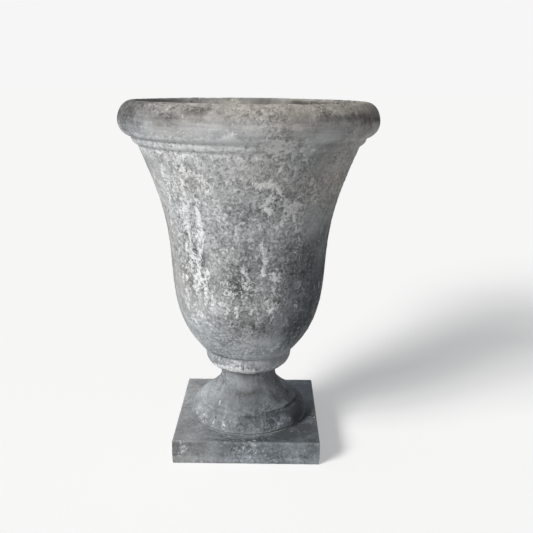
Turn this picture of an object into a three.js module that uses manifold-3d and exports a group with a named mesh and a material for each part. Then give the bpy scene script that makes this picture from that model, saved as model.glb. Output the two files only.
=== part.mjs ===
// A garden urn of cast stone: a bell-shaped bowl with a rolled rim, a waisted stem and a square plinth.
// The three castings are bedded on mortar and clamped together by a brass tie tube with a nut at each end.
// The tube is hollow, so it also drains the bowl, and a rubber plug lifts out of its upper end.
// Millimetres, +Z up. The origin is the centre of the plinth's underside, and the plinth's front faces -Y.

import * as THREE from "three";
import { mergeVertices } from "three/addons/utils/BufferGeometryUtils.js";
import Module from "manifold-3d";

const wasm = await Module();
wasm.setup();

// Sides of one full turn. Multiples of four, so the widest points lie on the axes.
const stoneSides = 56;
const hardwareSides = 36;

// Steps along the curved stretches of an outline.
const bellSteps = 11;
const insideSteps = 6;
const rollSteps = 8;
const lipSteps = 3;
const knopSteps = 6;
const cushionSteps = 7;
const coveSteps = 8;

// Clearances. The seat gap is the hairline left between two faces that meet.
const seatGap = 0.3;
const threadClearance = 0.3;
const plugClearance = 0.3;
const boreClearance = 1.8;
const cutOverrun = 1;

// Plinth: a square slab, drawn in slightly along its bottom edge, with a pocket below for the lower nut.
const plinthWidth = 250;
const plinthHeight = 41.5;
const plinthFootInset = 2;
const plinthFootHeight = 6.5;
const plinthArris = 1.5;
const pocketRadius = 29.5;
const pocketDepth = 22;

// Mortar beds: one under the stem, set back from its edge, and one at the neck, squeezed out a little.
const footBedHeight = 1.7;
const footBedSetback = 0.8;
const neckBedHeight = 2.4;
const neckBedSqueeze = 0.9;

// Stem: a rounded cushion at the foot, a narrow ridge, a cove, and a neck that widens a little at the top.
const footRadius = 105;
const footEdgeRound = 0.8;
const footEdgeHeight = 2.4;
const cushionHeight = 27.3;
const ridgeRadius = 87;
const ridgeRise = 2;
const ridgeLedge = 1.8;
const coveHeight = 44.9;
const neckRadius = 49.4;
const neckHeight = 13.9;
const neckFlare = 1;

// Knop: the rounded collar that is cast under the bowl.
const knopUndersideRadius = 58;
const knopRadius = 77;
const knopRoundHeight = 24.5;
const knopShoulderHeight = 6;
const creaseInset = 1.2;
const creaseHeight = 3.5;

// Bell: a full belly that rises to a slim waist and then flares to the rim.
const bellFootRadius = 81;
const waistRadius = 133.8;
const waistHeight = 157;
const waistLean = 0.066;
const bellTopRadius = 184;
const bellHeight = 356;
const bowlWall = 22;
const bowlFloorHeight = 58;

// Rim: a narrow band under a large roll, and a rounded lip inside it.
const bandStep = 6.5;
const bandStepHeight = 4.5;
const bandFlare = 3.5;
const bandHeight = 6;
const crestReach = 6;
const rollReach = 24.6;
const rollDrop = 25.5;
const rollRise = 31.5;
const rollStandoff = 28.5;
const lipReach = 5.5;
const lipDrop = 5.5;

// Tie tube and what clamps it.
const tubeRadius = 13.2;
const tubeBoreRadius = 9.5;
const tubeStickOut = 5;
const tubeTail = 4;
const nutCorners = 6;
const nutAcrossFlats = 36;
const nutHeight = 9;
const nutChamfer = 1.4;
const washerRadius = 27;
const washerHeight = 3;
const sealRadius = 33;
const sealHeight = 3;

// Drain plug: a tapered bung under a flange, with an upright tab to pull it by.
const bungLength = 18;
const bungTaper = 0.6;
const flangeRadius = 14;
const flangeHeight = 4;
const flangeRound = 1.2;
const tabWidth = 15;
const tabHeight = 17;
const tabThickness = 4.2;
const tabSink = 1;

// Levers of the curves, as shares of the width and height that each curve spans.
const bellyStartShare = { across: 0.89, up: 0.307 };
const bellyEndShare = 0.36;
const flareStartShare = 0.428;
const flareEndShare = { across: 0.642, up: 0.402 };
const coveStartShare = { across: 0.99, up: 0.579 };
const coveEndShare = 0.236;
const cushionStartShare = 0.586;
const cushionEndShare = { across: 0.364, up: 0.22 };
const rollStartTurnShare = 0.44;

// Sizes that follow from the ones above.
const boreRadius = tubeRadius + boreClearance;
const stemHeight = footEdgeHeight + cushionHeight + ridgeRise + coveHeight + neckHeight;
const neckTopRadius = neckRadius + neckFlare;
const bellFootLevel = knopRoundHeight + knopShoulderHeight + creaseHeight;
const bandLevel = bellFootLevel + bellHeight + bandStepHeight;
const rollLevel = bandLevel + bandHeight + rollStandoff;
const crestRadius = bellTopRadius + crestReach;
const rimLevel = rollLevel + rollRise;

// Levels of the stacked pieces above the ground, each a hairline above the one below.
const footBedLevel = plinthHeight + seatGap;
const stemLevel = footBedLevel + footBedHeight + seatGap;
const neckBedLevel = stemLevel + stemHeight + seatGap;
const bowlLevel = neckBedLevel + neckBedHeight + seatGap;
const sealLevel = bowlLevel + bowlFloorHeight + seatGap;
const topWasherLevel = sealLevel + sealHeight + seatGap;
const topNutLevel = topWasherLevel + washerHeight + seatGap;
const tubeTopLevel = topNutLevel + nutHeight + tubeStickOut;
const bottomWasherLevel = pocketDepth - seatGap - washerHeight;
const bottomNutLevel = bottomWasherLevel - seatGap - nutHeight;
const tubeFootLevel = bottomNutLevel - tubeTail;
const plugLevel = tubeTopLevel + seatGap;

const stone = new THREE.MeshStandardMaterial({ color: 0x858886, roughness: 0.95, metalness: 0 });
const mortar = new THREE.MeshStandardMaterial({ color: 0xb7b6ae, roughness: 0.97, metalness: 0 });
const brass = new THREE.MeshStandardMaterial({ color: 0xa8863f, roughness: 0.45, metalness: 0.9 });
const steel = new THREE.MeshStandardMaterial({ color: 0x8d9294, roughness: 0.4, metalness: 0.9 });
const rubber = new THREE.MeshStandardMaterial({ color: 0x1d1e1f, roughness: 0.75, metalness: 0 });

// A point of an outline: its distance from the axis and its level.
function at(radius, level) {
  return new THREE.Vector2(radius, level);
}

// A quarter of an ellipse, or the part of it between two angles, as points.
function arc(centre, reach, rise, from, to, steps) {
  return new THREE.EllipseCurve(centre.x, centre.y, reach, rise, from, to, to < from).getPoints(steps);
}

// A curve between two points, with its levers given as offsets from its own ends.
function bend(start, startLever, end, endLever) {
  return new THREE.CubicBezierCurve(start, start.clone().add(startLever), end.clone().add(endLever), end);
}

// A solid turned from an outline that closes on itself, listed with the material on its left.
function turned(outline, sides) {
  const closed = [...outline, outline[0]];
  return new THREE.LatheGeometry(closed, sides).rotateX(Math.PI / 2);
}

// A ring of rectangular section round the axis, standing on level zero.
function ring(innerRadius, outerRadius, height) {
  const outer = [at(outerRadius, 0), at(outerRadius, height)];
  return turned([at(innerRadius, 0), ...outer, at(innerRadius, height)], hardwareSides);
}

// A geometry as a solid that can be cut and joined, and a solid as a geometry again.
function solid(geometry) {
  const bare = geometry.clone();
  bare.deleteAttribute("normal");
  bare.deleteAttribute("uv");
  const merged = mergeVertices(bare);
  return new wasm.Manifold(
    new wasm.Mesh({
      numProp: 3,
      vertProperties: merged.attributes.position.array,
      triVerts: new Uint32Array(merged.index.array),
    }),
  );
}

function surface(body) {
  const mesh = body.getMesh();
  const geometry = new THREE.BufferGeometry();
  geometry.setAttribute("position", new THREE.BufferAttribute(mesh.vertProperties, mesh.numProp));
  geometry.setIndex(new THREE.BufferAttribute(mesh.triVerts, 1));
  geometry.computeVertexNormals();
  return geometry;
}

// A named piece standing at its level on the axis.
function piece(name, geometry, material, level) {
  const mesh = new THREE.Mesh(geometry, material);
  mesh.name = name;
  mesh.position.z = level;
  return mesh;
}

// The square slab: four sides turned round the axis, then bored for the tube and pocketed for the nut.
function plinthGeometry() {
  const corner = Math.SQRT2;
  const half = plinthWidth / 2;
  const outline = [
    at(0, 0),
    at((half - plinthFootInset) * corner, 0),
    at(half * corner, plinthFootHeight),
    at(half * corner, plinthHeight - plinthArris),
    at((half - plinthArris) * corner, plinthHeight),
    at(0, plinthHeight),
  ];
  const slab = new THREE.LatheGeometry(outline, 4, Math.PI / 4).rotateX(Math.PI / 2);
  const cutter = turned(
    [
      at(0, -cutOverrun),
      at(pocketRadius, -cutOverrun),
      at(pocketRadius, pocketDepth),
      at(boreRadius, pocketDepth),
      at(boreRadius, plinthHeight + cutOverrun),
      at(0, plinthHeight + cutOverrun),
    ],
    hardwareSides,
  );
  return surface(solid(slab).subtract(solid(cutter)));
}

function footBedGeometry() {
  return bed(footRadius - footEdgeRound - footBedSetback, footBedHeight, 0);
}

function neckBedGeometry() {
  return bed(neckTopRadius, neckBedHeight, neckBedSqueeze);
}

// A mortar bed: a flat ring whose outer edge may bulge where the mortar is squeezed out.
function bed(radius, height, squeeze) {
  const edge = squeeze > 0 ? [at(radius + squeeze, height / 2)] : [];
  const outer = [at(radius, 0), ...edge, at(radius, height)];
  return turned([at(boreRadius, 0), ...outer, at(boreRadius, height)], stoneSides);
}

// The stem's outline from the foot's edge up to the neck's top.
function stemOutline() {
  const cushionFoot = at(footRadius, footEdgeHeight);
  const cushionTop = at(ridgeRadius, footEdgeHeight + cushionHeight);
  const cushionReach = footRadius - ridgeRadius;
  const cushion = bend(
    cushionFoot,
    at(0, cushionStartShare * cushionHeight),
    cushionTop,
    at(cushionEndShare.across * cushionReach, -cushionEndShare.up * cushionHeight),
  );
  const ridge = at(ridgeRadius, cushionTop.y + ridgeRise);
  const coveFoot = at(ridgeRadius - ridgeLedge, ridge.y);
  const neck = at(neckRadius, coveFoot.y + coveHeight);
  const coveReach = coveFoot.x - neckRadius;
  const cove = bend(
    coveFoot,
    at(-coveStartShare.across * coveReach, coveStartShare.up * coveHeight),
    neck,
    at(0, -coveEndShare * coveHeight),
  );
  return [
    at(footRadius - footEdgeRound, 0),
    ...cushion.getPoints(cushionSteps),
    ridge,
    ...cove.getPoints(coveSteps),
    at(neckTopRadius, stemHeight),
  ];
}

function stemGeometry() {
  return turned([at(boreRadius, 0), ...stemOutline(), at(boreRadius, stemHeight)], stoneSides);
}

// The two curves of the bell, from its foot to the waist and from the waist to the band.
function bellCurves() {
  const foot = at(bellFootRadius, bellFootLevel);
  const waist = at(waistRadius, bellFootLevel + waistHeight);
  const top = at(bellTopRadius, bellFootLevel + bellHeight);
  const bellyRise = bellyEndShare * waistHeight;
  const bellyReach = waistRadius - bellFootRadius;
  const belly = bend(
    foot,
    at(bellyStartShare.across * bellyReach, bellyStartShare.up * waistHeight),
    waist,
    at(-waistLean * bellyRise, -bellyRise),
  );
  const flareHeight = bellHeight - waistHeight;
  const flareRise = flareStartShare * flareHeight;
  const flareReach = bellTopRadius - waistRadius;
  const flare = bend(
    waist,
    at(waistLean * flareRise, flareRise),
    top,
    at(-flareEndShare.across * flareReach, -flareEndShare.up * flareHeight),
  );
  return [belly, flare];
}

// Points along the bell, each moved inwards across the wall by the given depth.
function bellLine(depth, steps) {
  const [belly, flare] = bellCurves();
  const line = [];
  for (const curve of [belly, flare]) {
    for (let step = curve === belly ? 0 : 1; step <= steps; step += 1) {
      const share = step / steps;
      const along = curve.getTangent(share);
      line.push(curve.getPoint(share).add(at(-along.y * depth, along.x * depth)));
    }
  }
  return line;
}

function bowlOutside() {
  const knop = arc(
    at(knopUndersideRadius, knopRoundHeight),
    knopRadius - knopUndersideRadius,
    knopRoundHeight,
    -Math.PI / 2,
    0,
    knopSteps,
  );
  const crease = at(knopRadius - creaseInset, knopRoundHeight + knopShoulderHeight);
  const bandFoot = at(bellTopRadius + bandStep, bandLevel);
  const bandTop = at(bandFoot.x + bandFlare, bandLevel + bandHeight);
  const rollStart = -rollStartTurnShare * Math.PI;
  const centre = at(crestRadius, rollLevel);
  const rollUnder = arc(centre, rollReach, rollDrop, rollStart, 0, rollSteps);
  const rollOver = arc(centre, rollReach, rollRise, 0, Math.PI / 2, rollSteps);
  const bell = bellLine(0, bellSteps);
  return [...knop, crease, ...bell, bandFoot, bandTop, ...rollUnder, ...rollOver.slice(1)];
}

// The inside, from the lip down the wall to the floor and in to the bore.
function bowlInside() {
  const lip = arc(at(crestRadius, rimLevel - lipDrop), lipReach, lipDrop, Math.PI / 2, Math.PI, lipSteps);
  const wall = bellLine(bowlWall, insideSteps);
  const floorEdge = crossing(wall, bowlFloorHeight);
  const above = wall.filter((point) => point.y > bowlFloorHeight).reverse();
  return [...lip.slice(1), ...above, floorEdge, at(boreRadius, bowlFloorHeight)];
}

// The point where a rising line passes a level.
function crossing(line, level) {
  const next = line.findIndex((point) => point.y > level);
  const upper = line[next];
  const lower = line[Math.max(next - 1, 0)];
  const share = THREE.MathUtils.inverseLerp(lower.y, upper.y, level);
  return at(THREE.MathUtils.lerp(lower.x, upper.x, share), level);
}

function bowlGeometry() {
  return turned([at(boreRadius, 0), ...bowlOutside(), ...bowlInside()], stoneSides);
}

function tieTubeGeometry() {
  return ring(tubeBoreRadius, tubeRadius, tubeTopLevel - tubeFootLevel);
}

function washerGeometry() {
  return ring(tubeRadius + threadClearance, washerRadius, washerHeight);
}

function sealGeometry() {
  return ring(tubeRadius + threadClearance, sealRadius, sealHeight);
}

// A hexagon nut with its bore, its corners turned down at both faces.
function nutGeometry() {
  const cornerRadius = nutAcrossFlats / 2 / Math.cos(Math.PI / nutCorners);
  const hexagon = new THREE.CylinderGeometry(cornerRadius, cornerRadius, nutHeight, nutCorners)
    .rotateX(Math.PI / 2)
    .translate(0, 0, nutHeight / 2);
  const flat = nutAcrossFlats / 2;
  const chamfered = turned(
    [
      at(tubeRadius + threadClearance, 0),
      at(flat, 0),
      at(cornerRadius, nutChamfer),
      at(cornerRadius, nutHeight - nutChamfer),
      at(flat, nutHeight),
      at(tubeRadius + threadClearance, nutHeight),
    ],
    hardwareSides,
  );
  return surface(solid(hexagon).intersect(solid(chamfered)));
}

// The rubber plug, whose level zero is the underside of its flange.
function plugGeometry() {
  const bungRadius = tubeBoreRadius - plugClearance;
  const bung = turned(
    [
      at(0, -bungLength),
      at(bungRadius - bungTaper, -bungLength),
      at(bungRadius, 0),
      at(flangeRadius, 0),
      at(flangeRadius, flangeHeight - flangeRound),
      at(flangeRadius - flangeRound, flangeHeight),
      at(0, flangeHeight),
    ],
    hardwareSides,
  );
  return surface(solid(bung).add(solid(tabGeometry())));
}

// The tab: an upright tongue with a round top, its foot sunk into the flange.
function tabGeometry() {
  const half = tabWidth / 2;
  const tongue = new THREE.Shape();
  tongue.moveTo(-half, -tabSink);
  tongue.lineTo(half, -tabSink);
  tongue.lineTo(half, tabHeight - half);
  tongue.absarc(0, tabHeight - half, half, 0, Math.PI, false);
  const options = { depth: tabThickness, bevelEnabled: false, curveSegments: hardwareSides / 4 };
  return new THREE.ExtrudeGeometry(tongue, options)
    .translate(0, 0, -tabThickness / 2)
    .rotateX(Math.PI / 2)
    .translate(0, 0, flangeHeight);
}

const castings = new THREE.Group();
castings.add(
  piece("plinth", plinthGeometry(), stone, 0),
  piece("foot_mortar", footBedGeometry(), mortar, footBedLevel),
  piece("stem", stemGeometry(), stone, stemLevel),
  piece("neck_mortar", neckBedGeometry(), mortar, neckBedLevel),
  piece("bowl", bowlGeometry(), stone, bowlLevel),
);

const clamp = new THREE.Group();
clamp.add(
  piece("tie_tube", tieTubeGeometry(), brass, tubeFootLevel),
  piece("top_seal", sealGeometry(), rubber, sealLevel),
  piece("top_washer", washerGeometry(), steel, topWasherLevel),
  piece("top_nut", nutGeometry(), brass, topNutLevel),
  piece("bottom_washer", washerGeometry(), steel, bottomWasherLevel),
  piece("bottom_nut", nutGeometry(), brass, bottomNutLevel),
  piece("drain_plug", plugGeometry(), rubber, plugLevel),
);

const urn = new THREE.Group();
urn.add(castings, clamp);

export default urn;
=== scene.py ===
"""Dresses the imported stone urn: weathered castings, mortar, clamp hardware, light and camera.

Lengths are metres. An azimuth is in degrees, 0 at the urn's front (-Y) and growing towards +X.
"""

import math

import bmesh
import bpy
import numpy as np
from mathutils import Matrix, Vector, kdtree, noise


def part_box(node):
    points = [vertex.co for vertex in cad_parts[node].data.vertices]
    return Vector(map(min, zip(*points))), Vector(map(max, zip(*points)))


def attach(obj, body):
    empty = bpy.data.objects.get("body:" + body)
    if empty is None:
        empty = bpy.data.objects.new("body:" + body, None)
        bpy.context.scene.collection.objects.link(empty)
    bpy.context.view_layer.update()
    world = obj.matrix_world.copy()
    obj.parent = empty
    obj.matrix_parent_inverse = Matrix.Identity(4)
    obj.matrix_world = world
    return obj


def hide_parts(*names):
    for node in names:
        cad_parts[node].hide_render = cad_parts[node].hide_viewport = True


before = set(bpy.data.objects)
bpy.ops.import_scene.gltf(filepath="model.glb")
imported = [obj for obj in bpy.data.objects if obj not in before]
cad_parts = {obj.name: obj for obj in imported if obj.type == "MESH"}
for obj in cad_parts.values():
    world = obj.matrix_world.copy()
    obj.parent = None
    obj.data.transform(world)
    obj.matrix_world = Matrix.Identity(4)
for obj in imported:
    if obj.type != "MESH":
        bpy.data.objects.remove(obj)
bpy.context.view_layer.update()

MM = 0.001
WELD = 2e-6

# ---- Camera and light ----

IMAGE_SIDE = 533
FOCAL_PIXELS = 666.2
SENSOR_MM = 36
CAMERA_PLACE = Vector((0.0346, -1.1277, 0.6248))
CAMERA_PITCH_DEG = 15.39
CAMERA_ROLL_DEG = 0.63
CAMERA_YAW_DEG = 0.18
CAMERA_CLIPS = (0.01, 200)

# A wide soft light at the left front, as three far lamps: azimuth, elevation, strength.
SUNS = [(-60, 36, 1.30), (-52, 29, 1.80), (-44, 26, 1.60)]
SUN_SPREAD_DEG = 15
SUN_COLOUR = (1.0, 0.985, 0.96)
SKY_COLOUR = (0.94, 0.985, 1.05, 1)
SKY_STRENGTH = 0.20
BACKDROP_LEVEL = 0.922
FLOOR_COLOUR = (0.62, 0.62, 0.62, 1)
FLOOR_LIFT = 0.345
FLOOR_HALF = 60.0


def placed(name, data):
    """A new object in the scene."""
    made = bpy.data.objects.new(name, data)
    bpy.context.scene.collection.objects.link(made)
    return made


def make_camera():
    camera = placed("camera", bpy.data.cameras.new("camera"))
    camera.data.sensor_width = SENSOR_MM
    camera.data.lens = SENSOR_MM * FOCAL_PIXELS / IMAGE_SIDE
    camera.data.clip_start, camera.data.clip_end = CAMERA_CLIPS
    yaw = Matrix.Rotation(math.radians(CAMERA_YAW_DEG), 4, "Z")
    pitch = Matrix.Rotation(math.radians(90 - CAMERA_PITCH_DEG), 4, "X")
    roll = Matrix.Rotation(math.radians(CAMERA_ROLL_DEG), 4, "Z")
    camera.matrix_world = Matrix.Translation(CAMERA_PLACE) @ yaw @ pitch @ roll
    bpy.context.scene.camera = camera


def towards(azimuth_deg, elevation_deg):
    """The unit vector from the urn towards an azimuth and an elevation."""
    azimuth, elevation = math.radians(azimuth_deg), math.radians(elevation_deg)
    level = math.cos(elevation)
    return Vector((math.sin(azimuth) * level, -math.cos(azimuth) * level, math.sin(elevation)))


def make_suns():
    for azimuth, elevation, strength in SUNS:
        light = bpy.data.lights.new(f"sun_{elevation}", "SUN")
        light.energy = strength
        light.angle = math.radians(SUN_SPREAD_DEG)
        light.color = SUN_COLOUR
        sun = placed(light.name, light)
        sun.rotation_mode = "QUATERNION"
        sun.rotation_quaternion = towards(azimuth, elevation).to_track_quat("Z", "Y")


# ---- Node graphs ----


class Graph:
    """A material's or a world's nodes, with one method for each kind of step."""

    def __init__(self, tree):
        self.tree = tree
        tree.nodes.clear()

    def node(self, kind, links=None, **settings):
        made = self.tree.nodes.new("ShaderNode" + kind)
        for key, value in settings.items():
            setattr(made, key, value)
        for socket, source in (links or {}).items():
            if isinstance(source, bpy.types.NodeSocket):
                self.tree.links.new(source, made.inputs[socket])
            else:
                made.inputs[socket].default_value = source
        return made

    def math(self, operation, first, second=0.0):
        node = self.node("Math", {0: first, 1: second}, operation=operation)
        return node.outputs[0]

    def add(self, total, *terms):
        for term in terms:
            total = self.math("ADD", total, term)
        return total

    def times(self, first, second):
        return self.math("MULTIPLY", first, second)

    def step(self, value, low, high, start=0.0, end=1.0):
        """A smooth step: start up to low, end from high on."""
        links = {"Value": value, 1: low, 2: high, 3: start, 4: end}
        node = self.node("MapRange", links, interpolation_type="SMOOTHSTEP")
        return node.outputs["Result"]

    def place(self, stretch=(1, 1, 1), shift=0.0):
        """Object coordinates, stretched, and shifted so that two patterns don't line up."""
        where = self.node("TexCoord").outputs["Object"]
        links = {"Vector": where, "Scale": [1 / s for s in stretch], "Location": [shift] * 3}
        return self.node("Mapping", links).outputs["Vector"]

    def clouds(self, size, detail=3.0, roughness=0.5, distortion=0.0, stretch=(1, 1, 1), shift=0.0):
        """Smooth noise from 0 to 1 with features of about the given size."""
        links = {
            "Vector": self.place(stretch, shift),
            "Scale": 1 / size,
            "Detail": detail,
            "Roughness": roughness,
            "Distortion": distortion,
        }
        return self.node("TexNoise", links).outputs[0]

    def blots(self, size, low, high, start=0.0, end=1.0, **pattern):
        """Clouds cut into blots by a smooth step."""
        return self.step(self.clouds(size, **pattern), low, high, start, end)

    def cells(self, size, shift=0.0):
        """Scattered cells: the distance to each one's middle, and a number of its own."""
        links = {"Vector": self.place(shift=shift), "Scale": 1 / size}
        node = self.node("TexVoronoi", links)
        number = self.node("SeparateColor", {0: node.outputs["Color"]}).outputs[0]
        return node.outputs["Distance"], number

    def stored(self, name):
        return self.node("Attribute", attribute_name=name).outputs["Fac"]

    def mix(self, share, first, second, blend="MIX"):
        """Two colours mixed. The mix node's colours are its inputs 6 and 7 and its output 2."""
        links = {"Factor": share, 6: first, 7: second}
        return self.node("Mix", links, data_type="RGBA", blend_type=blend).outputs[2]

    def surface(self, colour, roughness, height, depth, **constants):
        """A Principled surface; constants are set on its own sockets."""
        bump = self.node("Bump", {"Height": height, "Distance": depth, "Strength": 1.0})
        links = {"Base Color": colour, "Roughness": roughness, "Normal": bump.outputs["Normal"]}
        shader = self.node("BsdfPrincipled", links)
        for socket, value in constants.items():
            shader.inputs[socket.replace("_", " ")].default_value = value
        self.node("OutputMaterial", {"Surface": shader.outputs[0]})

    def shown_directly(self):
        """1 for what the camera, a reflection or a clear material sees, 0 for light's bounces."""
        path = self.node("LightPath")
        glossy = self.math("MAXIMUM", path.outputs["Is Camera Ray"], path.outputs["Is Glossy Ray"])
        return self.math("MAXIMUM", glossy, path.outputs["Is Transmission Ray"])


def new_material(name):
    material = bpy.data.materials.new(name)
    material.use_nodes = True
    return material, Graph(material.node_tree)


def grey(level, warmth=0.0):
    """A near-grey colour, a share warmer or cooler."""
    return (level * (1 + warmth), level, level * (1 - warmth), 1)


def make_world():
    world = bpy.data.worlds.new("studio")
    world.use_nodes = True
    bpy.context.scene.world = world
    graph = Graph(world.node_tree)
    sky = graph.node("Background", {"Color": SKY_COLOUR, "Strength": SKY_STRENGTH})
    shown = graph.node("Background", {"Color": grey(1.0), "Strength": BACKDROP_LEVEL})
    links = {0: graph.shown_directly(), 1: sky.outputs[0], 2: shown.outputs[0]}
    both = graph.node("MixShader", links)
    graph.node("OutputWorld", {"Surface": both.outputs[0]})


def make_floor():
    """A plain pale floor. What sees it directly sees it lifted to the backdrop's level."""
    mesh = bpy.data.meshes.new("floor")
    corners = [(-1, -1, 0), (1, -1, 0), (1, 1, 0), (-1, 1, 0)]
    mesh.from_pydata([FLOOR_HALF * Vector(corner) for corner in corners], [], [(0, 1, 2, 3)])
    floor = placed("floor", mesh)
    material, graph = new_material("floor")
    paint = graph.node("BsdfDiffuse", {"Color": FLOOR_COLOUR})
    lift = graph.times(graph.shown_directly(), FLOOR_LIFT)
    glow = graph.node("Emission", {"Color": grey(1.0), "Strength": lift})
    both = graph.node("AddShader", {0: paint.outputs[0], 1: glow.outputs[0]})
    graph.node("OutputMaterial", {"Surface": both.outputs[0]})
    mesh.materials.append(material)


# ---- Materials ----

# What a casting's mesh tells its material, from 0 to 1 at each point.
STONE_ATTRIBUTES = ("tone", "warmth", "lime_and_painted_light", "crust", "brush", "cavity", "edge")

STONE_DEEP = grey(0.060)
STONE_PALE = grey(0.460)
LIME = grey(0.680, 0.01)
PIT = grey(0.045)
COOL_TINT = (0.900, 1.0, 1.090, 1)
WARM_TINT = (1.085, 1.0, 0.905, 1)
MORTAR_DARK = grey(0.13, -0.065)
MORTAR_PALE = grey(0.25, -0.06)
MORTAR_HOLE = grey(0.07)
BRASS_BRIGHT = (0.62, 0.44, 0.17, 1)
BRASS_TARNISH = (0.27, 0.19, 0.10, 1)
VERDIGRIS = (0.17, 0.22, 0.16, 1)
ZINC_DARK = grey(0.46, -0.03)
ZINC_PALE = grey(0.62, -0.01)
ZINC_BLOOM = grey(0.72)
RUST = (0.24, 0.12, 0.055, 1)
SOIL = (0.105, 0.090, 0.075, 1)
RUBBER_BLACK = grey(0.018)
RUBBER_DUST = grey(0.11, 0.05)


def stone_material(name):
    """Weathered cast stone. Its mesh says how pale it is, painted light and shade included, and where
    lime, crust and cavities lie.
    """
    material, graph = new_material(name)
    tone, warmth, lime_and_painted_light, crust, brush, cavity, edge = map(graph.stored, STONE_ATTRIBUTES)
    curds = graph.blots(0.0088, 0.27, 0.73, detail=4, roughness=0.60, distortion=1.5, shift=11.3)
    grain = graph.clouds(0.0046, roughness=0.62, distortion=0.7, shift=1.9)
    grit = graph.clouds(0.0014, detail=2, roughness=0.6, shift=5.3)
    cloud = graph.clouds(0.032, detail=5, roughness=0.6, distortion=0.5, shift=7.7)
    flat, tall = (1, 1, 0.10), (1, 1, 4.0)
    brushed = graph.clouds(0.050, 4, 0.60, distortion=0.4, stretch=flat, shift=3.1)
    drawn = graph.clouds(0.009, 4, 0.6, distortion=0.6, stretch=tall, shift=23.0)
    middle = graph.clouds(0.022, 3, 0.55, distortion=1.8, stretch=(1, 1, 1.6), shift=29.0)
    from_middle = graph.math("ABSOLUTE", graph.math("SUBTRACT", middle, 0.5))
    wisps = graph.step(from_middle, 0.0, 0.045, 1.0, 0.0)

    def swing(pattern, amount):
        """A pattern's departure from its middle, times an amount."""
        return graph.times(graph.math("SUBTRACT", pattern, 0.5), amount)

    # The stone's own tone: broad clouds, upright runs where no brush went, brushing on the skin,
    # and curds and grain in the crust.
    unbrushed = graph.math("SUBTRACT", 1.0, brush)
    tone = graph.add(
        tone,
        swing(cloud, 0.60),
        swing(drawn, graph.times(unbrushed, 0.35)),
        swing(brushed, graph.add(brush, 0.08)),
        swing(curds, graph.add(graph.times(crust, 0.50), 0.04)),
        swing(grain, graph.add(graph.times(crust, 0.70), 0.34)),
    )
    tone = graph.math("MINIMUM", graph.math("MAXIMUM", tone, 0.0), 1.0)
    colour = graph.mix(tone, STONE_DEEP, STONE_PALE)

    # Lime: curds and runs where the attribute allows them, and lone pale grains everywhere. Under the
    # rim's roll the attribute also carries painted light.
    bloom = graph.add(lime_and_painted_light, swing(curds, 0.50), swing(grain, 0.85), swing(drawn, unbrushed))
    bloom = graph.add(bloom, graph.times(wisps, 0.20))
    cover = graph.times(graph.step(bloom, 0.36, 0.96), graph.step(lime_and_painted_light, 0.0, 0.06, 0.30, 0.85))
    colour = graph.mix(cover, colour, LIME)
    spot_distance, spot_number = graph.cells(0.0062, shift=2.2)
    spot = graph.step(spot_distance, 0.12, 0.30, 1.0, 0.0)
    spot = graph.times(spot, graph.step(spot_number, 0.93, 0.96))
    spot = graph.times(spot, graph.add(graph.times(crust, 0.20), 0.08))
    colour = graph.mix(spot, colour, LIME)

    # Dark pits: fine ones in the crust, and painted shade in the modelled cavities.
    pinholes = graph.blots(0.0066, 0.34, 0.46, 1.0, 0.0, roughness=0.62, distortion=0.8, shift=17.0)
    pinholes = graph.times(pinholes, graph.add(graph.times(crust, 0.42), 0.04))
    colour = graph.mix(pinholes, colour, PIT)
    colour = graph.mix(graph.times(cavity, 0.40), colour, PIT)
    # Convex edges are made paler: a painted highlight.
    colour = graph.mix(graph.times(edge, 0.12), colour, STONE_PALE)
    tint = graph.mix(warmth, COOL_TINT, WARM_TINT)
    colour = graph.mix(1.0, colour, tint, blend="MULTIPLY")

    height = graph.add(graph.times(grain, 0.9), graph.times(grit, 0.35))
    height = graph.add(height, graph.times(cover, 0.3), graph.times(pinholes, -0.8))
    roughness = graph.step(grain, 0.3, 0.7, 0.80, 0.95)
    graph.surface(colour, roughness, height, depth=0.0010, Specular_IOR_Level=0.25)
    return material


def mortar_material():
    """Gritty lime mortar with small dark holes."""
    material, graph = new_material("lime_mortar_grit")
    grain = graph.clouds(0.0026, detail=4, roughness=0.7)
    cloud = graph.clouds(0.014, detail=4, roughness=0.6, shift=4.0)
    tone = graph.add(graph.times(grain, 0.6), graph.times(cloud, 0.4))
    colour = graph.mix(graph.step(tone, 0.36, 0.62), MORTAR_DARK, MORTAR_PALE)
    holes = graph.blots(0.0018, 0.34, 0.42, 1.0, 0.0, detail=2, roughness=0.6, shift=9.0)
    colour = graph.mix(graph.times(holes, 0.7), colour, MORTAR_HOLE)
    roughness = graph.step(grain, 0.3, 0.7, 0.85, 0.97)
    height = graph.add(grain, graph.times(holes, -0.5))
    graph.surface(colour, roughness, height, depth=0.0009)
    return material


def brass_material():
    """Yellow brass, tarnished brown in patches and dulled green in specks."""
    material, graph = new_material("aged_brass")
    tarnish = graph.blots(0.009, 0.40, 0.64, detail=5, roughness=0.62, distortion=0.6)
    specks = graph.blots(0.0016, 0.56, 0.68, roughness=0.7, shift=6.0)
    scratches = graph.clouds(0.0009, detail=2, stretch=(8, 8, 0.7), shift=2.0)
    colour = graph.mix(tarnish, BRASS_BRIGHT, BRASS_TARNISH)
    colour = graph.mix(graph.times(specks, 0.55), colour, VERDIGRIS)
    roughness = graph.add(graph.step(tarnish, 0.0, 1.0, 0.30, 0.52), graph.times(specks, 0.2))
    height = graph.add(graph.times(scratches, 0.4), graph.times(specks, 0.6))
    graph.surface(colour, roughness, height, depth=0.00012, Metallic=1.0)
    return material


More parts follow.
